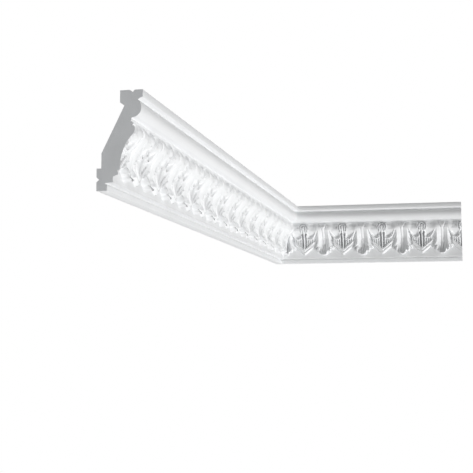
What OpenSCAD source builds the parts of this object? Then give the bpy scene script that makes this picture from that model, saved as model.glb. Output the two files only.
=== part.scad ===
// Enriched cornice for the angle between a wall and a ceiling: two lengths of moulded
// polyurethane that meet at a mitre in an inside corner of a room.
//
// Frame: the origin is at the foot of the room's corner line, level with the cornice's lower
// edge. The left length runs along -Y on the wall X = 0, the right length runs along +X on the
// wall Y = 0, and +Z is up.  Millimetres.
//
// Local places on a length: s is the distance from the corner along the wall, d the distance
// out from the wall, and t the distance down from the ceiling.

/* [Run] */
// Length of the left piece along its wall, from the corner to its square cut end
left_length = 976.5; // [300:0.5:2000]
// Length of the right piece along its wall, from the corner to its square cut end
right_length = 334; // [160:0.5:1500]
// Distance from the corner to the left piece's first leaf
left_first_leaf = 31.5; // [5:0.5:70]
// Distance from the corner to the right piece's first leaf
right_first_leaf = 20.3; // [5:0.1:70]

/* [Section] */
// Reach of the top fascia out from the wall
projection = 47; // [38:0.5:60]
// Height of the top fascia
fascia_h = 7.5; // [5:0.5:12]
// Step back from the fascia to the quirk above the ovolo
quirk_step = 3.6; // [2:0.1:5]
// Height of the cove under the fascia
quirk_h = 3.1; // [2:0.1:6]
// How far the ovolo swells out from the quirk
ovolo_swell = 2.1; // [1:0.1:4]
// Height of the ovolo's upper, flatter part
ovolo_upper_h = 7.9; // [5:0.1:12]
// Radius of the ovolo's lower, rounder part
ovolo_r = 9; // [7:0.5:11]
// Height of the fillet under the ovolo
fillet_h = 3.4; // [2:0.1:6]
// Height of the carved band
band_h = 56.1; // [46:0.1:70]
// Height of the plain strip under the carved band
strip_h = 4.8; // [3:0.1:10]
// Distance of the plain strip out from the wall
strip_d = 17.1; // [15:0.1:20]
// Height of the lowest member, which lies on the wall
foot_h = 8.2; // [5:0.1:14]
// Thickness of the lowest member
foot_d = 11; // [7:0.5:13]

/* [Carved band] */
// Length of one repeat, from leaf to leaf
repeat = 70; // [56:0.5:90]
// Radius of the swell at the top of the band
swell_r = 7.5; // [6:0.1:9]
// Distance of the band's hollow foot out from the wall, at its front
hollow_d = 23.8; // [21:0.1:26]
// Depth from the front of the carving to its ground
relief = 6.7; // [4:0.1:7]
// Half width of a leaf at its two crests
leaf_crest = 9.1; // [7:0.1:11]
// Half width of a leaf at its widest, over the side lobes
leaf_half = 16.5; // [13:0.1:19]
// Half width of the rounded leaf tip
tip_half = 5.5; // [4:0.1:7]
// Half width of the midrib where the leaf is narrow
rib_half = 1.3; // [0.8:0.1:2]
// Half width of the stem in the dart
stem_half = 1.3; // [0.8:0.1:2]
// Half width of the deep slots beside the stem
slot_half = 4.8; // [3:0.1:6]
// Half width of the pair of dished lobes at the top
lobe_half = 24; // [19:0.5:26]
// Half width of the V-shaped binding
binding_half = 17.3; // [14:0.1:20]
// Height of a binding's arm, measured upright
binding_h = 9; // [6:0.5:12]

/* [Back] */
// Width of the bearing face against the ceiling
ledge_w = 23.4; // [18:0.1:28]
// Depth of the block behind that bearing face
ledge_h = 12.3; // [8:0.1:16]
// Height of the bearing face against the wall
wall_face_h = 22.5; // [18:0.5:28]
// Depth of the relief above the wall face
wall_relief = 4.9; // [3:0.1:8]
// Width of the adhesive grooves
groove_w = 5; // [3:0.5:7]
// Depth of the adhesive grooves
groove_depth = 2.7; // [1.5:0.1:3.5]

/* [Hidden] */

plaster_white = [0.93, 0.93, 0.92];
arc_steps = 6;      // straight chords in each of the ovolo's arcs
row_count = 10;     // rows of facets up the carved band
min_gap = 0.7;      // columns of facets closer together than this are merged
eps = 0.001;

// Levels, down from the ceiling
quirk_t = fascia_h + quirk_h;
ovolo_t = quirk_t + ovolo_upper_h;
ovolo_end_t = ovolo_t + ovolo_r;
band_top_t = ovolo_end_t + fillet_h;
band_end_t = band_top_t + band_h;
strip_end_t = band_end_t + strip_h;
height = strip_end_t + foot_h;

// Distances out from the wall
quirk_d = projection - quirk_step;
ovolo_d = quirk_d + ovolo_swell;
ovolo_end_d = ovolo_d - ovolo_r;
band_top_d = ovolo_end_d - 1.2;

// The band is an ogee: a swell above, and a hollow that ends upright at its foot
swell_mid_d = band_top_d - 3.8;
swell_mid_t = band_top_t + swell_r + 0.8;
join_t = swell_mid_t + 0.8 * swell_r;
join_d = swell_mid_d + 0.6 * swell_r;
hollow_t = band_end_t - 10;
hollow_r = (pow(hollow_t - join_t, 2) + pow(join_d - hollow_d, 2)) / (2 * (join_d - hollow_d));

// ---- the section's curves ----

function smooth(a, b, x) = let (k = min(1, max(0, (x - a) / (b - a)))) k * k * (3 - 2 * k);

// Front of the carving at level t
function front_d(t) =
    t < join_t ? swell_mid_d + sqrt(max(0, pow(swell_r, 2) - pow(t - swell_mid_t, 2)))
    : t < hollow_t ? hollow_d + hollow_r - sqrt(pow(hollow_r, 2) - pow(hollow_t - t, 2))
    : hollow_d;

// Ground of the carving at level t
function ground_d(t) =
    t <= band_top_t ? band_top_d
    : t >= band_end_t ? strip_d
    : max(strip_d, front_d(t) - relief * smooth(swell_mid_t - 4, join_t + 9, t));

// Members above the carved band, from the ceiling down, as [d, t]
upper_members = concat(
    [[projection, 0], [projection - 0.3, fascia_h]],
    [for (i = [1:2]) let (a = 45 * i)
        [quirk_d + (quirk_step - 0.9) * (1 - sin(a)), fascia_h + 0.6 + (quirk_h - 0.6) * (1 - cos(a))]],
    [for (i = [1:arc_steps - 1]) let (k = i / arc_steps)
        [quirk_d + ovolo_swell * sin(90 * k), quirk_t + ovolo_upper_h * k]],
    [for (i = [0:arc_steps]) let (a = 90 * i / arc_steps)
        [ovolo_end_d + ovolo_r * cos(a), ovolo_t + ovolo_r * sin(a)]],
    [[band_top_d, ovolo_end_t + 1]]
);

// Members below the carved band, and then the back, up to the ceiling again
wall_top_t = height - wall_face_h;
ledge_d = projection - ledge_w;
wall_groove_t = height - wall_face_h / 2;
top_groove_d = projection - 0.46 * ledge_w;
lower_members = [
    [strip_d, strip_end_t],
    [foot_d, strip_end_t + 0.2],
    [foot_d, height],
    [0, height],
    [0, wall_groove_t + groove_w / 2],
    [groove_depth, wall_groove_t],
    [0, wall_groove_t - groove_w / 2],
    [0, wall_top_t],
    [wall_relief, wall_top_t],
    [wall_relief, wall_top_t - 15],
    [ledge_d + 4.8, ledge_h + 2.7],
    [ledge_d, ledge_h],
    [ledge_d, 0],
    [top_groove_d - groove_w / 2, 0],
    [top_groove_d, groove_depth],
    [top_groove_d + groove_w / 2, 0]
];

// ---- the carving: 0 is the ground, 1 the front of the band ----

// Level of the rim under the lobes, u from the dart's middle
lobe_bottom_t = join_t + 14.5;
function rim_t(u) = lobe_bottom_t - 16.5 * pow(max(0, u - slot_half - 4) / (lobe_half - slot_half - 4), 1.6);

// The dart: stem, slots, lobes and binding
function dart_height(u, t) =
    let (binding_bottom_t = band_end_t - 1 - 16 * u / binding_half,
         in_binding = u < binding_half && t < binding_bottom_t && t > binding_bottom_t - binding_h,
         in_slot = u > stem_half + 0.2 && u < slot_half - 0.2 && t > join_t + 2
             && t < binding_bottom_t - binding_h,
         dish = smooth(join_t, lobe_bottom_t - 4, t) * (1 - smooth(0, 5, abs(t - rim_t(u) + 5))))
    in_binding ? 0.9
    : u <= stem_half + 0.2 && t < binding_bottom_t ? 1
    : in_slot ? 0
    : u < lobe_half && t <= rim_t(u) ? 1 - 0.45 * dish
    : u < binding_half && t < binding_bottom_t ? 0.55
    : 0;

// Half width of the leaf at level t: it widens to the side lobes and narrows in steps to the tip
lobes_t = band_end_t - 11.5;
function leaf_edge(t) =
    t < lobes_t ? leaf_crest + 1 + (leaf_half - leaf_crest - 1) * smooth(join_t, lobes_t - 10, t)
    : t < lobes_t + 5 ? leaf_crest + 1.5
    : t < band_end_t - 0.5 ? tip_half
    : 0;

// The leaf: midrib, hollow sides, crests and outer blades, v from the leaf's middle
function leaf_height(v, t) =
    let (edge = leaf_edge(t), crest = min(leaf_crest, edge - 1),
         curl = 1 + 0.35 * smooth(lobes_t - 2, band_end_t - 3, t),
         hollow = 0.5 * smooth(band_top_t + 4, join_t + 8, t))
    v >= edge ? 0
    : v > crest ? curl * (edge - v) / (edge - crest)
    : v <= rib_half ? curl - 0.5 * hollow
    : curl - hollow * (1 - pow(v / crest, 3));

// How far out the carving reaches, at s along a length whose first leaf is at first
function carved_d(s, t, first) =
    let (w = abs((s - first) - repeat * round((s - first) / repeat)),
         height_here = max(leaf_height(w, t), dart_height(repeat / 2 - w, t)))
    ground_d(t) + (max(front_d(t), ground_d(t)) - ground_d(t)) * height_here;

// ---- the grid of facets ----

function sorted(a) = len(a) < 2 ? a
    : let (pivot = a[floor(len(a) / 2)])
        concat(sorted([for (x = a) if (x < pivot) x]), [for (x = a) if (x == pivot) x],
               sorted([for (x = a) if (x > pivot) x]));

function merged(a) = [for (i = [0:len(a) - 1]) if (i == 0 || a[i] - a[i - 1] > min_gap) a[i]];

leaf_columns = [0, rib_half, leaf_crest / 2, leaf_crest, (leaf_crest + leaf_half) / 2, leaf_half];
dart_columns = [0, stem_half, stem_half + 1, slot_half, slot_half + 4.5, slot_half + 9];

// Places of the columns along a length, evenly following leaves and darts
function columns(first, length) =
    let (last = ceil(length / repeat),
         leaves = [for (k = [-1:last], o = leaf_columns, side = [-1, 1]) first + k * repeat + side * o],
         darts = [for (k = [-1:last], o = dart_columns, side = [-1, 1])
             first + (k + 0.5) * repeat + side * o])
    merged(sorted([for (s = concat(leaves, darts)) if (s > min_gap && s < length - min_gap) s]));

rows = [for (i = [0:row_count]) band_top_t + (band_end_t + 0.6 - band_top_t) * i / row_count];
blend_s = projection + 4;   // by here the columns, which start along the mitre, stand upright

// Grid of [s, d, t]; its first column lies in the mitre, and nothing reaches past the mitre
function grid(first, length) =
    let (cols = concat([0], columns(first, length), [length]))
    [for (t = rows, c = cols)
        let (s = c >= blend_s ? c : ground_d(t) + (blend_s - ground_d(t)) * c / blend_s,
             d = t == rows[0] || t == rows[row_count] ? ground_d(t) : carved_d(s, t, first))
        [s, min(d, s), t]];

// One length in local places: plain members as strips, the band as the grid, and two ends
function strip_ends(members, length) = [for (m = members, far = [0, 1]) [far == 0 ? m[0] : length, m[0], m[1]]];

function reversed(f) = [for (i = [len(f) - 1:-1:0]) f[i]];

// ---- an end face: its outline, counterclockwise, is cut into triangles ear by ear ----

function turn(a, b, c) = (b[0] - a[0]) * (c[1] - a[1]) - (b[1] - a[1]) * (c[0] - a[0]);

function covers(a, b, c, p) = turn(a, b, p) >= 0 && turn(b, c, p) >= 0 && turn(c, a, p) >= 0;

function is_ear(outline, i) =
    let (n = len(outline), before = (i + n - 1) % n, after = (i + 1) % n,
         a = outline[before], b = outline[i], c = outline[after])
    turn(a, b, c) > eps
    && len([for (j = [0:n - 1])
        if (j != before && j != i && j != after && covers(a, b, c, outline[j])) j]) == 0;

function first_ear(outline, i = 0) =
    i == len(outline) - 1 || is_ear(outline, i) ? i : first_ear(outline, i + 1);

function clipped(outline, ids) = len(ids) == 3 ? [ids]
    : let (n = len(ids), ear = first_ear(outline))
        concat([[ids[(ear + n - 1) % n], ids[ear], ids[(ear + 1) % n]]],
               clipped([for (j = [0:n - 1]) if (j != ear) outline[j]],
                       [for (j = [0:n - 1]) if (j != ear) ids[j]]));

module mitred_length(first, length, on_left) {
    n = len(columns(first, length)) + 2;
    na = len(upper_members);
    nb = len(lower_members);
    grid_at = 2 * na;
    lower_at = grid_at + n * (row_count + 1);
    places = concat(strip_ends(upper_members, length), grid(first, length),
                    strip_ends(lower_members, length));
    function at(r, c) = grid_at + r * n + c;
    function upper(i, far) = 2 * i + far;
    function lower(i, far) = lower_at + 2 * i + far;
    function section_at(ids) = [for (i = ids) [places[i][1], places[i][2]]];
    near_ids = concat([for (i = [0:na - 1]) upper(i, 0)], [for (r = [0:row_count]) at(r, 0)],
                      [for (i = [0:nb - 1]) lower(i, 0)]);
    far_ids = concat([for (i = [0:na - 1]) upper(i, 1)], [for (r = [0:row_count]) at(r, n - 1)],
                     [for (i = [0:nb - 1]) lower(i, 1)]);
    faces = concat(
        [for (i = [0:na - 2]) [upper(i, 0), upper(i, 1), upper(i + 1, 1), upper(i + 1, 0)]],
        [for (c = [0:n - 2]) [upper(na - 1, 0), at(0, c + 1), at(0, c)]],
        [[upper(na - 1, 0), upper(na - 1, 1), at(0, n - 1)]],
        [for (r = [0:row_count - 1], c = [0:n - 2], half = [0, 1])
            half == 0 ? [at(r, c), at(r, c + 1), at(r + 1, c)]
                      : [at(r, c + 1), at(r + 1, c + 1), at(r + 1, c)]],
        [for (c = [0:n - 2]) [lower(0, 0), at(row_count, c), at(row_count, c + 1)]],
        [[lower(0, 0), at(row_count, n - 1), lower(0, 1)]],
        [for (i = [0:nb - 2]) [lower(i, 0), lower(i, 1), lower(i + 1, 1), lower(i + 1, 0)]],
        [[lower(nb - 1, 0), lower(nb - 1, 1), upper(0, 1), upper(0, 0)]],
        [for (f = clipped(section_at(far_ids), far_ids)) reversed(f)],
        clipped(section_at(near_ids), near_ids)
    );
    polyhedron(
        points = [for (p = places) on_left ? [p[1], -p[0], height - p[2]] : [p[0], -p[1], height - p[2]]],
        faces = on_left ? faces : [for (f = faces) reversed(f)],
        convexity = 8);
}

module left_length() {
    color(plaster_white) mitred_length(left_first_leaf, left_length, true);
}

module right_length() {
    color(plaster_white) mitred_length(right_first_leaf, right_length, false);
}

left_length();
right_length();
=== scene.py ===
"""Looks of an enriched cornice: two moulded polyurethane lengths mitred in an inside corner."""

import logging
import math
from dataclasses import dataclass
from enum import Enum

import bmesh
import bpy
import numpy as np
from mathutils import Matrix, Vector


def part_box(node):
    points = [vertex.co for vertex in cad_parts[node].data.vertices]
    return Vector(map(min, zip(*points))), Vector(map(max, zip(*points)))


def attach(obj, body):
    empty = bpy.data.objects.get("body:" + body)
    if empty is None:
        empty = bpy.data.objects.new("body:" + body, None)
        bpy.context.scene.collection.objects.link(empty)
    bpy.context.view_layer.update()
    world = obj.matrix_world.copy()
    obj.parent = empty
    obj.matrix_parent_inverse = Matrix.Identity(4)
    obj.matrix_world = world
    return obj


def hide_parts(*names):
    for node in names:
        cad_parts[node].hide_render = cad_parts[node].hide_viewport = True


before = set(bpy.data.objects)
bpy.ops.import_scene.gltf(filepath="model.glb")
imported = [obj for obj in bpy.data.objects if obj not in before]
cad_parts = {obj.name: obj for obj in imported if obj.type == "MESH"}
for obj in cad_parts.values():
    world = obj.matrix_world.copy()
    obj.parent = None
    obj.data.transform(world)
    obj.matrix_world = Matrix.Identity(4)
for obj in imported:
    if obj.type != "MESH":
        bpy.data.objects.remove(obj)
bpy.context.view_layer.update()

LOG = logging.getLogger("cornice")
MM = 0.001
# Cap on each carved band; with the plain shell it keeps a piece under 200,000.
MOST_TRIANGLES = 190000
Points = list[tuple[float, float]]


# ---- curves -------------------------------------------------------------------------------

def smooth(start: float, end: float, x: np.ndarray) -> np.ndarray:
    """Smooth step.

    Args:
        start: Where the step is still 0.
        end: Where it reaches 1; it may lie before start.
        x: Places to work it out at.

    Returns:
        Values from 0 to 1.
    """
    k = np.clip((x - start) / (end - start), 0.0, 1.0)
    return k * k * (3.0 - 2.0 * k)


def roll(distance: np.ndarray, half_width: float) -> np.ndarray:
    """Half-round moulding.

    Args:
        distance: Distances from the moulding's centre line.
        half_width: Where it has died away.

    Returns:
        1 on the centre line, in a round down to 0 at half_width.
    """
    return np.sqrt(np.clip(1.0 - (distance / half_width) ** 2, 0.0, 1.0))


def curve_through(points: Points, steps: int = 6) -> np.ndarray:
    """Smooth curve through a few points.

    Args:
        points: The points, in order.
        steps: Chords between one point and the next.

    Returns:
        An array of points on the curve, one a row.
    """
    p = np.array([points[0], *points, points[-1]], float)
    k = np.linspace(0.0, 1.0, steps, endpoint=False)[:, None]
    spans = []
    for a, b, c, d in zip(p, p[1:], p[2:], p[3:]):
        spans.append(0.5 * (2 * b + (c - a) * k + (2 * a - 5 * b + 4 * c - d) * k**2
                            + (3 * b - a - 3 * c + d) * k**3))
    return np.vstack([*spans, p[-1:]])


def distance_to(path: np.ndarray, x: np.ndarray, y: np.ndarray) -> np.ndarray:
    """Distance to a path of straight chords.

    Args:
        path: The path's points, one a row.
        x: First coordinates of the places.
        y: Second coordinates of the places.

    Returns:
        Each place's distance to the nearest chord.
    """
    best = np.full(x.shape, np.inf)
    for (ax, ay), (bx, by) in zip(path, path[1:]):
        dx, dy = bx - ax, by - ay
        k = np.clip(((x - ax) * dx + (y - ay) * dy) / (dx * dx + dy * dy + 1e-12), 0.0, 1.0)
        best = np.minimum(best, np.hypot(x - ax - k * dx, y - ay - k * dy))
    return best


def depth_inside(path: np.ndarray, x: np.ndarray, y: np.ndarray) -> np.ndarray:
    """Distance in from a closed outline.

    Args:
        path: The outline's points, one a row; it closes from the last to the first.
        x: First coordinates of the places.
        y: Second coordinates of the places.

    Returns:
        Distances from the outline, negative outside it.
    """
    closed = np.vstack([path, path[:1]])
    inside = np.zeros(x.shape, bool)
    for (ax, ay), (bx, by) in zip(closed, closed[1:]):
        if ay != by:
            crosses = (y < ay) != (y < by)
            inside ^= crosses & (x < ax + (bx - ax) * (y - ay) / (by - ay))
    distance = distance_to(closed, x, y)
    return np.where(inside, distance, -distance)


# ---- the section --------------------------------------------------------------------------

@dataclass
class Section:
    """Section of the cornice in mm, as (d, t): d out from the wall, t down from the ceiling."""

    projection: float
    height: float
    fascia_h: float = 7.5
    quirk_step: float = 3.6
    quirk_h: float = 3.1
    ovolo_swell: float = 2.1
    ovolo_upper_h: float = 7.9
    ovolo_r: float = 9.0
    fillet_h: float = 3.4
    band_h: float = 56.1
    strip_d: float = 17.1
    strip_h: float = 4.8
    foot_d: float = 11.0
    swell_r: float = 7.5
    hollow_d: float = 23.8
    relief: float = 6.7
    ledge_w: float = 23.4
    ledge_h: float = 12.3
    wall_face_h: float = 22.5
    wall_relief: float = 4.9
    groove_w: float = 5.0
    groove_depth: float = 2.7
    foot_groove_depth: float = 1.8
    quirk_depth: float = 1.3
    arc_steps: int = 14

    def __post_init__(self) -> None:
        """Works out the levels and distances that follow from the driving sizes."""
        self.quirk_t = self.fascia_h + self.quirk_h
        self.quirk_d = self.projection - self.quirk_step
        self.ovolo_t = self.quirk_t + self.ovolo_upper_h
        self.ovolo_end_t = self.ovolo_t + self.ovolo_r
        self.ovolo_end_d = self.quirk_d + self.ovolo_swell - self.ovolo_r
        self.band_top_t = self.ovolo_end_t + self.fillet_h
        self.band_top_d = self.ovolo_end_d - 1.2
        self.band_end_t = self.band_top_t + self.band_h
        self.swell_mid = (self.band_top_d - 3.8, self.band_top_t + self.swell_r + 0.8)
        self.join_d = self.swell_mid[0] + 0.6 * self.swell_r
        self.join_t = self.swell_mid[1] + 0.8 * self.swell_r
        self.hollow_t = self.band_end_t - 10.0
        across, down = self.join_d - self.hollow_d, self.hollow_t - self.join_t
        self.hollow_r = (down**2 + across**2) / (2.0 * across)

    def front(self, t: np.ndarray) -> np.ndarray:
        """Front of the carving.

        Args:
            t: Levels down from the ceiling.

        Returns:
            Distances out from the wall: a swell, then a hollow that ends upright.
        """
        mid_d, mid_t = self.swell_mid
        swell = mid_d + np.sqrt(np.clip(self.swell_r**2 - (t - mid_t) ** 2, 0.0, None))
        start = self.band_top_d + 2.2 * smooth(self.band_top_t, self.band_top_t + 3.6, t)
        fall = np.clip(self.hollow_t - t, 0.0, self.hollow_t - self.join_t + 3.0)
        hollow = self.hollow_d + self.hollow_r - np.sqrt(self.hollow_r**2 - fall**2)
        upper = start + (swell - start) * smooth(self.band_top_t + 1.8, self.band_top_t + 5.4, t)
        return upper + (hollow - upper) * smooth(self.join_t - 2.2, self.join_t + 0.8, t)

    def ground(self, t: np.ndarray) -> np.ndarray:
        """Ground of the carving.

        Args:
            t: Levels down from the ceiling.

        Returns:
            Distances out from the wall, never behind the plain strip.
        """
        sunk = self.relief * smooth(self.swell_mid[1] - 4.0, self.join_t + 9.0, t)
        return np.maximum(self.strip_d, self.front(t) - sunk)

    def plain_outline(self) -> Points:
        """Outline of all that is plain.

        Returns:
            Points from the strip's lower edge, by the foot, the back and the ceiling, to the
            upper edge of the fillet over the carved band.
        """
        strip_end_t = self.band_end_t + self.strip_h
        wall_top_t = self.height - self.wall_face_h
        wall_groove_t = self.height - self.wall_face_h / 2.0
        ledge_d = self.projection - self.ledge_w
        top_groove_d = self.projection - 0.46 * self.ledge_w
        half = self.groove_w / 2.0
        back = [
            (self.strip_d, strip_end_t), (self.foot_d, strip_end_t + 0.2),
            (self.foot_d - self.foot_groove_depth, strip_end_t + 0.4),
            (self.foot_d - self.foot_groove_depth, strip_end_t + 2.0),
            (self.foot_d, strip_end_t + 2.5),
            (self.foot_d, self.height), (0.0, self.height),
            (0.0, wall_groove_t + half), (self.groove_depth, wall_groove_t),
            (0.0, wall_groove_t - half), (0.0, wall_top_t),
            (self.wall_relief, wall_top_t), (self.wall_relief, wall_top_t - 15.0),
            (ledge_d + 4.8, self.ledge_h + 2.7), (ledge_d, self.ledge_h), (ledge_d, 0.0),
            (top_groove_d - half, 0.0), (top_groove_d, self.groove_depth),
            (top_groove_d + half, 0.0), (self.projection, 0.0),
        ]
        return back + self.upper_mouldings()

    def upper_mouldings(self) -> Points:
        """Fascia, quirk and ovolo.

        Returns:
            Points from the fascia's lower edge to the fillet.
        """
        quarter = [math.pi / 2.0 * i / self.arc_steps for i in range(self.arc_steps + 1)]
        upper = [(self.quirk_d + self.ovolo_swell * math.sin(a),
                  self.quirk_t + self.ovolo_upper_h * a / quarter[-1]) for a in quarter[2:-1]]
        lower = [(self.ovolo_end_d + self.ovolo_r * math.cos(a),
                  self.ovolo_t + self.ovolo_r * math.sin(a)) for a in quarter]
        quirk = [(self.quirk_d + 1.2, self.fascia_h + 0.6), (self.quirk_d, self.fascia_h + 1.2),
                 (self.quirk_d - self.quirk_depth, self.quirk_t - 0.6),
                 (self.quirk_d - self.quirk_depth, self.quirk_t - 0.1)]
        return [(self.projection, self.fascia_h), *quirk, *upper, *lower,
                (self.band_top_d, self.ovolo_end_t + 1.0)]


# ---- the carving --------------------------------------------------------------------------

@dataclass
class Carving:
    """Leaf-and-dart enrichment of the band, in mm.

    Half a repeat is worked out and then mirrored: u runs from the middle of a dart to the middle
    of the next leaf, v back from the leaf's middle, and t down from the ceiling.
    """

    section: Section
    repeat: float = 70.0
    fine: float = 0.2
    stem_half: float = 1.3
    stem_head: tuple[float, float] = (0.0, 37.2)
    stem_foot: tuple[float, float] = (0.0, 78.0)
    loop_mid_t: float = 38.5
    loop_radii: tuple[float, ...] = (4.9, 8.3)
    neck_t: float = 46.4
    knob_r: float = 1.5
    loop_sunk: float = 3.0
    loop_rise: float = 1.0
    slot_below_ground: float = 2.5
    rim_half: float = 1.0
    dish_depth: float = 4.2
    valley_u: float = 16.5
    valley_depth: float = 2.3
    vein_places: tuple[float, ...] = (4.9, 9.2, 13.0, 16.2)
    binding_half: float = 17.4
    crest_v: float = 9.1
    channel_depth: float = 6.8
    softenings: int = 2
    curl: float = 3.2

    def __post_init__(self) -> None:
        """Lays out the curves that the carving follows, and works out its relief once."""
        self.half = self.repeat / 2.0
        self.lobe = curve_through([
            (5.6, 31.5), (8.9, 38.5), (7.4, 43.0), (4.4, 46.6), (4.1, 50.0), (4.1, 54.0),
            (5.3, 57.6), (8.2, 59.2), (11.8, 59.4), (15.4, 57.6), (19.0, 53.4), (21.8, 48.0),
            (24.0, 42.5), (25.0, 37.0), (25.0, 31.5)])
        self.rim = curve_through([
            (4.2, 47.4), (4.0, 50.5), (4.2, 54.2), (5.6, 57.4), (8.4, 58.8), (11.8, 58.9),
            (15.1, 57.1), (18.5, 53.0), (21.2, 47.8), (23.2, 42.8)])
        self.leaf = curve_through([
            (0.0, 86.6), (3.0, 86.2), (5.2, 84.6), (6.0, 82.0), (7.4, 79.7), (9.0, 80.4),
            (10.2, 81.0), (11.4, 80.0), (12.2, 76.0), (12.4, 72.4), (14.4, 75.0), (16.3, 76.3),
            (17.7, 75.0), (18.1, 71.0), (17.2, 65.0), (15.4, 59.0), (12.8, 51.5), (12.6, 47.5)])
        self.rungs = [
            (curve_through([(10.2, 67.6), (13.2, 71.6), (15.6, 74.6), (17.0, 74.8)]), 1.1, 1.4),
            (curve_through([(9.4, 74.4), (10.2, 77.6), (10.5, 80.0)]), 1.0, 1.2),
            (curve_through([(0.0, 85.4), (3.0, 85.0), (4.8, 83.4)]), 1.6, 1.0),
            (curve_through([(12.0, 50.0), (14.4, 58.5), (16.2, 65.0), (16.9, 71.0)]), 0.9, 1.0)]
        self.hollows = [
            (curve_through([(11.6, 73.2), (11.0, 70.6)]), 2.6, 1.4),
            (curve_through([(7.4, 80.6), (7.6, 77.0)]), 2.2, 1.3),
            (curve_through([(14.2, 70.0), (13.6, 65.0), (12.4, 58.0)]), 2.2, 1.2)]
        top_t = self.section.band_top_t
        self.leaf = np.vstack([self.leaf, [(20.0, 43.0), (20.0, top_t), (-4.0, top_t), (-4.0, 86.6)]])
        self.columns = np.arange(0.0, self.half + self.fine, self.fine)
        self.rows = np.arange(self.section.band_top_t, self.section.band_end_t + self.fine,
                              self.fine)
        self.relief_map = self.worked_out()

    def worked_out(self) -> np.ndarray:
        """Works out half a repeat, each member laid over those before it.

        Returns:
            Distances out from the wall, a row for each level and a column for each u.
        """
        u, t = np.meshgrid(self.columns, self.rows)
        d = self.veins(u, t)
        d = self.lobe_form(d, u, t)
        d = self.loops(d, u, t)
        d = self.stem(d, u, t)
        d = self.binding(d, u, t)
        d = self.leaf_form(d, self.half - u, t)
        for _ in range(self.softenings):
            d = self.softened(d)
        return d

    def softened(self, d: np.ndarray) -> np.ndarray:
        """Rounds the arrises a little, as a mould does.

        Args:
            d: The relief.

        Returns:
            The relief after one pass of smoothing both ways.
        """
        wide = np.pad(d, 1, mode="edge")
        across = (wide[1:-1, :-2] + 2.0 * wide[1:-1, 1:-1] + wide[1:-1, 2:]) / 4.0
        tall = np.pad(across, ((1, 1), (0, 0)), mode="edge")
        return (tall[:-2] + 2.0 * tall[1:-1] + tall[2:]) / 4.0

    def veins(self, u: np.ndarray, t: np.ndarray) -> np.ndarray:
        """The ground, and on it the upright veins between lobe and binding.

        Args:
            u: Places from the dart's middle.
            t: Levels.

        Returns:
            Distances out from the wall.
        """
        front, ground = self.section.front(t), self.section.ground(t)
        bound_t = 77.5 - 14.0 * u / self.binding_half
        slot_edge = np.interp(t, [55.0, 70.0, 76.0], [3.4, 2.7, 1.4])
        here = smooth(-0.4, 0.4, u - slot_edge) * smooth(0.6, -0.4, t - bound_t)
        here *= smooth(self.binding_half + 0.6, self.binding_half - 0.6, u) * smooth(48.0, 52.0, t)
        vein = np.zeros_like(u)
        for place in self.vein_places:
            lean = place + 0.0075 * (place - 4.0) * (62.0 - t)
            vein = np.maximum(vein, roll(u - lean, 1.25))
        return ground + (front - ground) * here * (0.25 + 0.55 * vein)

    def lobe_form(self, d: np.ndarray, u: np.ndarray, t: np.ndarray) -> np.ndarray:
        """The dished lobe at the dart's side, with its rolled rim.

        Args:
            d: The relief so far.
            u: Places from the dart's middle.
            t: Levels.

        Returns:
            The relief with the lobe.
        """
        front = self.section.front(t)
        inside = depth_inside(self.lobe, u, t)
        dish = smooth(0.7, 4.4, inside) * smooth(44.0, 53.0, t)
        valley = roll(u - self.valley_u, 9.0) ** 2 * smooth(47.0, 40.0, t)
        valley *= smooth(self.section.band_top_t, self.section.band_top_t + 3.0, t)
        lobe = front - self.dish_depth * dish - self.valley_depth * valley
        lobe += 1.0 * roll(distance_to(self.rim, u, t), self.rim_half) * smooth(40.0, 46.0, t)
        return d + (lobe - d) * smooth(-0.7, 0.3, inside)

    def loops(self, d: np.ndarray, u: np.ndarray, t: np.ndarray) -> np.ndarray:
        """The pair of raised loops round the stem's head, which close on a knob at the neck.

        Args:
            d: The relief so far.
            u: Places from the dart's middle.
            t: Levels.

        Returns:
            The relief with the loops.
        """
        front = self.section.front(t)
        top, mid = self.section.band_top_t, self.loop_mid_t
        reach = np.interp(t, [top, mid, mid + 4.5, self.neck_t, self.neck_t + 1.4],
                          [6.0, 9.9, 8.2, 5.2, 3.0])
        zone = smooth(reach + 0.5, reach - 0.5, u) * smooth(self.neck_t + 2.0, self.neck_t + 1.0, t)
        zone *= smooth(top, top + 1.6, t)
        raised = np.zeros_like(u)
        for r in self.loop_radii:
            turn = [(r * math.cos(a), mid - r * math.sin(a)) for a in np.linspace(1.55, -0.2, 8)]
            path = curve_through([*turn, (0.85 * r, mid + 0.62 * r + 1.2),
                                  (0.3 * r + 2.0, self.neck_t)])
            raised = np.maximum(raised, roll(distance_to(path, u, t), self.rim_half))
        knob = roll(np.hypot(u - 4.1, t - self.neck_t), self.knob_r)
        raised = np.maximum(raised, 1.3 * knob)
        height = front - self.loop_sunk + (self.loop_sunk + self.loop_rise) * raised
        return d + (height - d) * np.maximum(zone, smooth(0.0, 0.3, knob))

    def stem(self, d: np.ndarray, u: np.ndarray, t: np.ndarray) -> np.ndarray:
        """The round-headed stem, down to the binding, and the deep slots beside it.

        Args:
            d: The relief so far.
            u: Places from the dart's middle.
            t: Levels.

        Returns:
            The relief with the stem.
        """
        front = self.section.front(t)
        slot_edge = np.interp(t, [47.5, 49.5, 55.0, 70.0, 74.0], [2.0, 5.2, 3.4, 2.6, 1.6])
        slot = smooth(slot_edge + 0.3, slot_edge - 0.4, u) * smooth(47.3, 48.6, t)
        slot *= smooth(75.0, 71.0, t)
        d = d + (front - self.section.relief - self.slot_below_ground - d) * slot
        width = self.stem_half + 0.5 * smooth(44.0, 38.0, t)
        distance = distance_to(np.array([self.stem_head, self.stem_foot]), u, t)
        height = front + 0.2 - 1.4 * (1.0 - roll(distance / width, 1.0))
        return np.where(distance < width, np.maximum(d, height), d)

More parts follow.
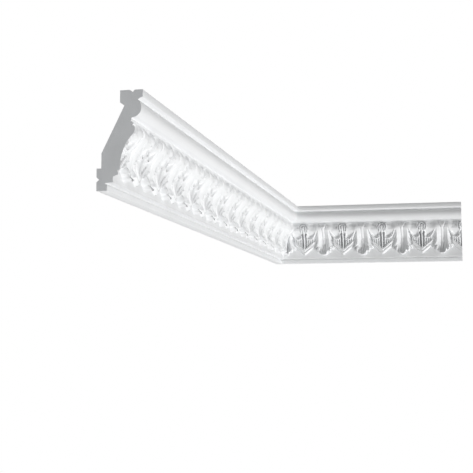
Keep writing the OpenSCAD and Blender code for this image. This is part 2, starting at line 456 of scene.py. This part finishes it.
    def binding(self, d: np.ndarray, u: np.ndarray, t: np.ndarray) -> np.ndarray:
        """The V-shaped binding of two bands, the lower one set back.

        Args:
            d: The relief so far.
            u: Places from the dart's middle.
            t: Levels.

        Returns:
            The relief with the binding.
        """
        front = self.section.front(t)
        for start_t, end_t, half_width, back in ((82.9, 68.2, 1.9, 1.5), (78.4, 64.0, 1.7, 0.2)):
            path = curve_through([(0.0, start_t), (9.0, start_t - 7.5), (self.binding_half, end_t)])
            mirrored = np.vstack([[(-3.0, start_t - 2.4)], path])
            distance = distance_to(mirrored, u, t)
            beside = np.clip(distance - half_width, 0.0, None)
            height = front - back - 1.8 * (1.0 - roll(distance, half_width)) - 3.0 * beside
            d = np.maximum(d, np.where(u < self.binding_half + 1.0, height, 0.0))
        return d

    def leaf_form(self, d: np.ndarray, v: np.ndarray, t: np.ndarray) -> np.ndarray:
        """The leaf: midrib flaring to a fan, hollow sides, crests, serrated blades, curled tip.

        Args:
            d: The relief so far.
            v: Places from the leaf's middle.
            t: Levels.

        Returns:
            The relief with the leaf.
        """
        front, ground = self.section.front(t), self.section.ground(t)
        inside = depth_inside(self.leaf, v, t)
        crest_d = front + self.curl * smooth(70.0, 86.0, t) + 0.8 * smooth(38.0, 49.0, t)
        crest_d -= 0.8 * smooth(52.0, 58.0, t)
        crest_v = self.crest_v + 1.9 * smooth(62.0, 75.0, t) - 5.4 * smooth(79.0, 85.0, t)
        sunk = self.channel_depth * smooth(36.0, 60.0, t) * smooth(87.5, 83.0, t)
        channel = crest_d - sunk * (1.0 - np.clip(v / crest_v, 0.0, 1.0) ** 1.2)
        flute = roll(v - 0.55 * crest_v, 1.2) * smooth(46.0, 54.0, t) * smooth(82.0, 76.0, t)
        channel += 0.35 * flute
        outer_v = np.interp(t, [41.0, 46.5, 51.5, 59.0, 65.0, 71.0],
                            [18.5, 13.0, 13.4, 15.8, 17.6, 18.4])
        over = np.clip((v - crest_v) / (outer_v - crest_v), 0.0, 1.0)
        edge_d = d + (ground + 1.6 - d) * smooth(46.0, 51.0, t)
        flank = crest_d + (edge_d - crest_d) * smooth(0.0, 1.0, over) ** 0.8
        leaf = np.where(v < crest_v, channel, flank)
        rib_half = 1.2 + 4.9 * smooth(46.0, 30.0, t) ** 1.3
        rib_rise = (0.8 + 0.9 * smooth(44.0, 60.0, t)) * smooth(31.0, 33.0, t)
        leaf += rib_rise * smooth(85.0, 80.0, t) * smooth(rib_half + 0.4, rib_half - 0.4, v)
        leaf -= 0.7 * roll(v - rib_half - 1.2, 1.0) * smooth(31.0, 33.0, t) * smooth(84.0, 78.0, t)
        leaf -= self.windows(v, t)
        leaf += self.serrations(v, t)
        below_top = smooth(self.section.band_top_t, self.section.band_top_t + 1.5, t)
        return d + (leaf - d) * smooth(-0.6, 0.5, inside) * below_top

    def windows(self, v: np.ndarray, t: np.ndarray) -> np.ndarray:
        """Hollows between the rolled edges, which run in from the notches of the outline.

        Args:
            v: Places from the leaf's middle.
            t: Levels.

        Returns:
            How much further in they lie than the blade.
        """
        deep = np.zeros_like(v)
        for path, half_width, depth in self.hollows:
            deep = np.maximum(deep, depth * smooth(half_width, 0.0, distance_to(path, v, t)))
        return deep

    def serrations(self, v: np.ndarray, t: np.ndarray) -> np.ndarray:
        """Rolled lower edges of the leaf's side lobes and tip.

        Args:
            v: Places from the leaf's middle.
            t: Levels.

        Returns:
            How much further out they stand than the blade.
        """
        rise = np.zeros_like(v)
        for path, half_width, height in self.rungs:
            rise = np.maximum(rise, height * roll(distance_to(path, v, t), half_width))
        return rise

    def reach(self, along: np.ndarray, t: np.ndarray, first_leaf: float) -> np.ndarray:
        """Reads the relief anywhere on a length.

        Args:
            along: Distances from the corner along the wall.
            t: Levels down from the ceiling.
            first_leaf: The first leaf's distance from the corner.

        Returns:
            Distances out from the wall.
        """
        turns = (along - first_leaf) / self.repeat
        u = self.half - self.repeat * np.abs(turns - np.round(turns))
        x = np.clip(u / self.fine, 0.0, len(self.columns) - 1.001)
        y = np.clip((t - self.rows[0]) / self.fine, 0.0, len(self.rows) - 1.001)
        i, j = x.astype(int), y.astype(int)
        fx, fy = x - i, y - j
        m = self.relief_map
        upper = m[j, i] * (1.0 - fx) + m[j, i + 1] * fx
        lower = m[j + 1, i] * (1.0 - fx) + m[j + 1, i + 1] * fx
        return upper * (1.0 - fy) + lower * fy


# ---- finishes -----------------------------------------------------------------------------

def linear(hex_colour: str) -> tuple[float, float, float, float]:
    """Turns an sRGB colour linear.

    Args:
        hex_colour: Six hex digits.

    Returns:
        The linear colour, with an alpha of 1.
    """
    parts = [int(hex_colour[i:i + 2], 16) / 255.0 for i in (0, 2, 4)]
    r, g, b = [c / 12.92 if c <= 0.04045 else ((c + 0.055) / 1.055) ** 2.4 for c in parts]
    return r, g, b, 1.0


def add_node(tree: bpy.types.NodeTree, kind: str, settings: dict | None = None,
             links: dict | None = None) -> bpy.types.Node:
    """Adds a node with its settings and links.

    Args:
        tree: The node tree.
        kind: The node's type name.
        settings: Attribute values, or values of inputs by name or number under "inputs".
        links: Sockets to link to this node's inputs, by input name or number.

    Returns:
        The new node.
    """
    node = tree.nodes.new(kind)
    for name, value in (settings or {}).items():
        if name == "inputs":
            for key, plain in value.items():
                node.inputs[key].default_value = plain
        else:
            setattr(node, name, value)
    for key, socket in (links or {}).items():
        tree.links.new(socket, node.inputs[key])
    return node


@dataclass(frozen=True)
class Finish:
    """A surface finish: two close colours in soft clouds, and a fine relief over a wider one."""

    name: str
    colour: str
    shade: str
    roughness: float
    ior: float
    cloud_mm: float
    grain_mm: float
    grain_height_mm: float
    grain_is_cellular: bool = False

    def material(self) -> bpy.types.Material:
        """Builds the material.

        Returns:
            The material, patterned on Object coordinates.
        """
        made = bpy.data.materials.new(self.name)
        made.use_nodes = True
        tree = made.node_tree
        shader = tree.nodes["Principled BSDF"]
        shader.inputs["Roughness"].default_value = self.roughness
        shader.inputs["IOR"].default_value = self.ior
        place = add_node(tree, "ShaderNodeTexCoord").outputs["Object"]
        cloud = add_node(tree, "ShaderNodeTexNoise",
                         {"inputs": {"Scale": 1.0 / (self.cloud_mm * MM), "Detail": 3.0}},
                         {"Vector": place})
        blend = add_node(tree, "ShaderNodeValToRGB", links={"Fac": cloud.outputs["Fac"]})
        blend.color_ramp.elements[0].position = 0.3
        blend.color_ramp.elements[0].color = linear(self.shade)
        blend.color_ramp.elements[1].position = 0.7
        blend.color_ramp.elements[1].color = linear(self.colour)
        tree.links.new(blend.outputs["Color"], shader.inputs["Base Color"])
        kind = "ShaderNodeTexVoronoi" if self.grain_is_cellular else "ShaderNodeTexNoise"
        grain = add_node(tree, kind, {"inputs": {"Scale": 1.0 / (self.grain_mm * MM)}},
                         {"Vector": place})
        bump = add_node(tree, "ShaderNodeBump",
                        {"inputs": {"Strength": 1.0, "Distance": self.grain_height_mm * MM}},
                        {"Height": grain.outputs[0]})
        tree.links.new(bump.outputs["Normal"], shader.inputs["Normal"])
        return made


# Polyurethane moulded in a smooth tool and primed: an even satin white, with a sprayed skin so
# fine that it only softens the highlights.
PRIMED_FRONT = Finish("primed_moulded_polyurethane", "EFF0F1", "ECEDEE", 0.5, 1.5, 60.0, 1.6, 0.02)
# The same foam where a saw has opened it: matt and pitted by cells, drawn about twice their real size
# so that they show. Its colour is set a little greyer than the front's.
SAWN_CELLS = Finish("sawn_polyurethane_foam", "DEE0E2", "D8DADC", 0.9, 1.45, 25.0, 0.9, 0.12, True)
# The unprimed back, moulded against a plain lid: a matt skin with a coarser orange peel.
MOULDED_BACK = Finish("unprimed_moulded_back", "E6E6E3", "E0E0DC", 0.75, 1.45, 40.0, 3.0, 0.08)


class Face(Enum):
    """Kinds of face on a length, in the order of its material slots."""

    FRONT = 0
    SAWN = 1
    BACK = 2


# ---- a length -----------------------------------------------------------------------------

class Side(Enum):
    """The two lengths, by the CAD node that each stands for."""

    LEFT = "left_length"
    RIGHT = "right_length"


@dataclass
class CorniceLength:
    """One length of the cornice, mitred at the room's corner and cut square at its far end."""

    side: Side
    first_leaf: float
    carving: Carving
    cell_mm: float
    most_triangles: int
    spare: float = 4.0
    arris_r: float = 0.35

    def __post_init__(self) -> None:
        """Takes the length from the CAD node's box."""
        low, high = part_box(self.side.value)
        size = high - low
        self.length = (size.y if self.side is Side.LEFT else size.x) / MM
        self.section = self.carving.section

    def place(self, along: np.ndarray, out: np.ndarray, down: np.ndarray) -> np.ndarray:
        """Turns places on the length into places in the frame.

        Args:
            along: Distances from the corner, in mm.
            out: Distances out from the wall.
            down: Levels down from the ceiling.

        Returns:
            An array of x, y and z in metres, one place a row.
        """
        z = self.section.height - down
        if self.side is Side.LEFT:
            return np.column_stack([out, -along, z]) * MM
        return np.column_stack([along, -out, z]) * MM

    def local(self, co: Vector) -> tuple[float, float, float]:
        """A frame place or direction as (along, out, up), in its own units."""
        return (-co.y, co.x, co.z) if self.side is Side.LEFT else (co.x, -co.y, co.z)

    def carved_mesh(self) -> bpy.types.Mesh:
        """Makes the carved band as a fine grid moved onto the carving, then thins it.

        Returns:
            The thinned mesh, open at its edges.
        """
        section = self.section
        run = self.length + 2.0 * self.spare
        bm = bmesh.new()
        bmesh.ops.create_grid(bm, x_segments=round(run / self.cell_mm),
                              y_segments=round(section.band_h / self.cell_mm), size=0.5)
        mesh = bpy.data.meshes.new("carved_band")
        bm.to_mesh(mesh)
        bm.free()
        co = np.empty(len(mesh.vertices) * 3)
        mesh.vertices.foreach_get("co", co)
        x, y, _ = co.reshape(-1, 3).T
        along = (x + 0.5) * run - self.spare
        t = section.band_top_t + (y + 0.5) * section.band_h
        out = self.carving.reach(along, t, self.first_leaf)
        edge = 0.25 * self.cell_mm
        out = np.where(t < section.band_top_t + edge, section.band_top_d, out)
        out = np.where(t > section.band_end_t - edge, section.strip_d, out)
        mesh.vertices.foreach_set("co", self.place(along, out, t).ravel())
        return self.thinned(mesh)

    def thinned(self, mesh: bpy.types.Mesh) -> bpy.types.Mesh:
        """Merges triangles where the surface is flattest.

        Args:
            mesh: The fine mesh, which is used up.

        Returns:
            A mesh of at most most_triangles.
        """
        carrier = bpy.data.objects.new("thinning", mesh)
        bpy.context.scene.collection.objects.link(carrier)
        thin = carrier.modifiers.new("thin", "DECIMATE")
        thin.ratio = min(1.0, self.most_triangles / (2.0 * len(mesh.polygons)))
        graph = bpy.context.evaluated_depsgraph_get()
        made = bpy.data.meshes.new_from_object(carrier.evaluated_get(graph))
        bpy.data.objects.remove(carrier)
        bpy.data.meshes.remove(mesh)
        return made

    def plain_shell(self, bm: bmesh.types.BMesh) -> None:
        """Draws the plain outline and extrudes it along the wall, with its arrises eased.

        Args:
            bm: The mesh to build in.
        """
        outline = np.array(self.section.plain_outline())
        start = self.place(np.full(len(outline), -self.spare), outline[:, 0], outline[:, 1])
        verts = [bm.verts.new(co) for co in start]
        edges = [bm.edges.new(pair) for pair in zip(verts, verts[1:])]
        grown = bmesh.ops.extrude_edge_only(bm, edges=edges)["geom"]
        run = (self.length + 2.0 * self.spare) * MM
        step = Vector((0.0, -run, 0.0)) if self.side is Side.LEFT else Vector((run, 0.0, 0.0))
        bmesh.ops.translate(bm, vec=step, verts=[g for g in grown if isinstance(g, bmesh.types.BMVert)])
        arrises = [e for e in bm.edges
                   if len(e.link_faces) == 2 and abs(e.calc_face_angle_signed()) > math.radians(40)]
        bmesh.ops.bevel(bm, geom=arrises, offset=self.arris_r * MM, offset_type="OFFSET",
                        segments=2, profile=0.5, affect="EDGES", material=-1)

    def join_band(self, bm: bmesh.types.BMesh) -> None:
        """Adds the carved band, and closes the fillet over it and the strip under it.

        Args:
            bm: The mesh that already holds the plain shell.
        """
        section = self.section
        band = self.carved_mesh()
        bm.from_mesh(band)
        bpy.data.meshes.remove(band)
        top = (section.band_top_d, section.band_top_t)
        bottom = (section.strip_d, section.band_end_t)
        fillet_top = (section.band_top_d, section.ovolo_end_t + 1.0)
        strip_bottom = (section.strip_d, section.band_end_t + section.strip_h)
        runs = [self.open_run(bm, *place) for place in (top, fillet_top, bottom, strip_bottom)]
        for chain, rail in (runs[:2], runs[2:]):
            ends = [sorted({v for e in run for v in e.verts}, key=lambda v: self.local(v.co)[0])
                    for run in (chain, rail)]
            close = [bm.edges.new((ends[0][k], ends[1][k])) for k in (0, -1)]
            bmesh.ops.edgeloop_fill(bm, edges=[*chain, *rail, *close])

    def open_run(self, bm: bmesh.types.BMesh, out: float, down: float) -> list[bmesh.types.BMEdge]:
        """Finds the open edges that follow a long line of the section, and straightens them.

        Args:
            bm: The mesh.
            out: The line's distance out from the wall, in mm.
            down: Its level down from the ceiling.

        Returns:
            The edges.
        """
        z = (self.section.height - down) * MM
        middle = self.length * MM / 2.0
        nearly_at_end = middle + (self.spare - 0.1) * MM
        run = []
        for edge in bm.edges:
            places = [Vector(self.local(v.co)) for v in edge.verts]
            across_end = all(abs(place.x - middle) > nearly_at_end for place in places)
            spans = abs(places[0].x - places[1].x) > middle
            level = all(abs(place.z - z) < MM for place in places)
            if len(edge.link_faces) == 1 and level and (spans or not across_end):
                run.append(edge)
        for vert in {v for e in run for v in e.verts}:
            along = self.local(vert.co)[0] / MM
            vert.co = Vector(self.place(np.array([along]), np.array([out]), np.array([down]))[0])
        return run

    def sawn(self, bm: bmesh.types.BMesh, point: Vector, normal: Vector) -> None:
        """Saws off what lies beyond a plane and closes the cut.

        Args:
            bm: The mesh.
            point: A point in the plane.
            normal: Points to the waste.
        """
        geom = [*bm.verts, *bm.edges, *bm.faces]
        cut = bmesh.ops.bisect_plane(bm, geom=geom, dist=1e-7, plane_co=point, plane_no=normal,
                                     clear_outer=True)["geom_cut"]
        rim = [g for g in cut if isinstance(g, bmesh.types.BMEdge)]
        for face in bmesh.ops.edgeloop_fill(bm, edges=rim)["faces"]:
            face.material_index = Face.SAWN.value

    def mark_back(self, bm: bmesh.types.BMesh) -> None:
        """Gives the faces against the wall and the ceiling the back's finish.

        Args:
            bm: The closed mesh, with its normals pointing outwards.
        """
        ceiling = (self.section.height - self.section.groove_depth - 0.1) * MM
        for face in bm.faces:
            if face.material_index == Face.SAWN.value:
                continue
            _, out, up = self.local(face.normal)
            centre = face.calc_center_median()
            on_shelf = up > 0.9 and self.local(centre)[1] < self.section.foot_d * MM
            if out < -0.05 or on_shelf or (up > 0.3 and centre.z > ceiling):
                face.material_index = Face.BACK.value

    def build(self) -> bpy.types.Object:
        """Builds the length, dresses it and sets it on the frame.

        Returns:
            The finished piece.
        """
        bm = bmesh.new()
        self.plain_shell(bm)
        self.join_band(bm)
        corner, far = Vector((0.0, 0.0, 0.0)), self.length * MM
        if self.side is Side.LEFT:
            self.sawn(bm, corner, Vector((1.0, 1.0, 0.0)))
            self.sawn(bm, Vector((0.0, -far, 0.0)), Vector((0.0, -1.0, 0.0)))
        else:
            self.sawn(bm, corner, Vector((-1.0, -1.0, 0.0)))
            self.sawn(bm, Vector((far, 0.0, 0.0)), Vector((1.0, 0.0, 0.0)))
        bmesh.ops.triangulate(bm, faces=[f for f in bm.faces if len(f.verts) > 3])
        bmesh.ops.recalc_face_normals(bm, faces=bm.faces)
        self.mark_back(bm)
        return self.dressed(bm)

    def dressed(self, bm: bmesh.types.BMesh) -> bpy.types.Object:
        """Turns the mesh into a piece with its finishes.

        Args:
            bm: The closed mesh, which is used up.

        Returns:
            The piece, riding on the frame in place of its CAD node.
        """
        name = f"carved_{self.side.value}"
        open_edges = sum(1 for e in bm.edges if len(e.link_faces) != 2)
        mesh = bpy.data.meshes.new(name)
        bm.to_mesh(mesh)
        bm.free()
        mesh.shade_smooth()
        mesh.set_sharp_from_angle(angle=math.radians(42.0))
        piece = bpy.data.objects.new(name, mesh)
        bpy.context.scene.collection.objects.link(piece)
        for finish in (PRIMED_FRONT, SAWN_CELLS, MOULDED_BACK):
            mesh.materials.append(bpy.data.materials.get(finish.name) or finish.material())
        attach(piece, "root")
        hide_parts(self.side.value)
        LOG.info("%s: %d triangles, %d open edges, %.1f mm long",
                 name, len(mesh.polygons), open_edges, self.length)
        return piece


# ---- studio -------------------------------------------------------------------------------

@dataclass
class Studio:
    """Camera, pale floor and soft light, in metres."""

    camera_at: tuple[float, float, float] = (0.37213, -2.01178, -0.15497)
    camera_tilt: float = 0.1005
    camera_turn: float = 0.2191
    lens_mm: float = 85.06
    floor_z: float = -2.4
    world_strength: float = 0.32
    overhead_strength: float = 0.12
    dimming_from: float = -0.3
    dimming_to: float = 0.8
    key_from: tuple[float, float, float] = (0.70, -0.36, -0.615)
    key_strength: float = 2.25
    fill_from: tuple[float, float, float] = (-0.6, 0.6, 0.55)
    fill_strength: float = 1.6
    softness: float = 0.35
    shadow_reach: float = 4.0
    shadow_share: float = 0.35

    def build(self) -> None:
        """Sets up everything round the object."""
        self.camera()
        self.floor()
        self.world()
        self.sun("key", self.key_from, self.key_strength)
        self.sun("back_fill", self.fill_from, self.fill_strength)

    def camera(self) -> None:
        """Places the camera below the lower edge, looking up into the corner."""
        data = bpy.data.cameras.new("camera")
        data.lens = self.lens_mm
        data.sensor_width = 36.0
        camera = bpy.data.objects.new("camera", data)
        bpy.context.scene.collection.objects.link(camera)
        camera.location = self.camera_at
        camera.rotation_euler = (math.pi / 2.0 + self.camera_tilt, 0.0, self.camera_turn)
        bpy.context.scene.camera = camera

    def floor(self) -> None:
        """Lays a white floor well below; it casts no shadow, so the key can come from under it."""
        bm = bmesh.new()
        bmesh.ops.create_grid(bm, x_segments=1, y_segments=1, size=30.0)
        bmesh.ops.translate(bm, vec=Vector((0.0, 0.0, self.floor_z)), verts=bm.verts)
        mesh = bpy.data.meshes.new("floor")
        bm.to_mesh(mesh)
        bm.free()
        floor = bpy.data.objects.new("floor", mesh)
        bpy.context.scene.collection.objects.link(floor)
        made = bpy.data.materials.new("white_painted_floor")
        made.use_nodes = True
        tree = made.node_tree
        paint = tree.nodes["Principled BSDF"]
        paint.inputs["Base Color"].default_value = linear("F4F4F3")
        paint.inputs["Roughness"].default_value = 0.9
        glow = add_node(tree, "ShaderNodeEmission", {"inputs": {"Color": (1.0, 1.0, 1.0, 1.0)}})
        place = add_node(tree, "ShaderNodeTexCoord").outputs["Object"]
        near = add_node(tree, "ShaderNodeMapping",
                        {"inputs": {"Location": (0.0, 0.0, -self.floor_z / self.shadow_reach),
                                    "Scale": (1.0 / self.shadow_reach,) * 3}}, {"Vector": place})
        fade = add_node(tree, "ShaderNodeTexGradient", {"gradient_type": "SPHERICAL"},
                        {"Vector": near.outputs[0]})
        share = add_node(tree, "ShaderNodeMath",
                         {"operation": "MULTIPLY", "inputs": {1: self.shadow_share}},
                         {0: fade.outputs["Fac"]})
        lit = add_node(tree, "ShaderNodeMixShader",
                       links={"Fac": share.outputs[0], 1: glow.outputs[0], 2: paint.outputs[0]})
        shown = add_node(tree, "ShaderNodeMixShader",
                         links={"Fac": self.seen_directly(tree), 1: paint.outputs[0],
                                2: lit.outputs[0]})
        tree.links.new(shown.outputs[0], tree.nodes["Material Output"].inputs["Surface"])
        mesh.materials.append(made)
        floor.visible_shadow = False

    def world(self) -> None:
        """Surrounds the object with light that dims overhead, and shows as a white background."""
        world = bpy.data.worlds.new("studio")
        bpy.context.scene.world = world
        world.use_nodes = True
        tree = world.node_tree
        even = tree.nodes["Background"]
        even.inputs["Color"].default_value = (1.0, 1.0, 1.0, 1.0)
        way = add_node(tree, "ShaderNodeTexCoord").outputs["Generated"]
        rise = add_node(tree, "ShaderNodeSeparateXYZ", links={0: way}).outputs["Z"]
        level = add_node(tree, "ShaderNodeMapRange",
                         {"interpolation_type": "SMOOTHSTEP",
                          "inputs": {"From Min": self.dimming_from,
                                     "From Max": self.dimming_to,
                                     "To Min": self.world_strength,
                                     "To Max": self.overhead_strength}}, {"Value": rise})
        tree.links.new(level.outputs["Result"], even.inputs["Strength"])
        white = add_node(tree, "ShaderNodeBackground",
                         {"inputs": {"Color": (1.0, 1.0, 1.0, 1.0), "Strength": 1.0}})
        shown = add_node(tree, "ShaderNodeMixShader",
                         links={"Fac": self.seen_directly(tree),
                                1: even.outputs[0], 2: white.outputs[0]})
        tree.links.new(shown.outputs[0], tree.nodes["World Output"].inputs["Surface"])

    def seen_directly(self, tree: bpy.types.NodeTree) -> bpy.types.NodeSocket:
        """Tells what the camera sees, itself or in a reflection, from what lights the object.

        Args:
            tree: The node tree to add to.

        Returns:
            A socket that is 1 for rays that are seen.
        """
        path = add_node(tree, "ShaderNodeLightPath").outputs
        gloss = add_node(tree, "ShaderNodeMath", {"operation": "MAXIMUM"},
                         {0: path["Is Camera Ray"], 1: path["Is Glossy Ray"]})
        return add_node(tree, "ShaderNodeMath", {"operation": "MAXIMUM"},
                        {0: gloss.outputs[0], 1: path["Is Transmission Ray"]}).outputs[0]

    def sun(self, name: str, towards: tuple[float, float, float], strength: float) -> None:
        """Adds an even, soft light; the floor casts no shadow, so it may come from below.

        Args:
            name: Its name.
            towards: Direction to where it comes from.
            strength: Its strength in watts a square metre.
        """
        data = bpy.data.lights.new(name, "SUN")
        data.energy = strength
        data.angle = self.softness
        lamp = bpy.data.objects.new(name, data)
        bpy.context.scene.collection.objects.link(lamp)
        lamp.rotation_euler = Vector(towards).to_track_quat("Z", "Y").to_euler()


def main() -> None:
    """Builds the two lengths and the studio."""
    logging.basicConfig(level=logging.INFO, format="%(message)s")
    low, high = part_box(Side.LEFT.value)
    section = Section(projection=(high.x - low.x) / MM, height=(high.z - low.z) / MM)
    carving = Carving(section)
    CorniceLength(Side.LEFT, first_leaf=31.5, carving=carving, cell_mm=0.5,
                  most_triangles=MOST_TRIANGLES).build()
    CorniceLength(Side.RIGHT, first_leaf=20.3, carving=carving, cell_mm=0.35,
                  most_triangles=MOST_TRIANGLES).build()
    Studio().build()
    bpy.context.scene.view_settings.view_transform = "Standard"


if __name__ == "__main__":
    main()
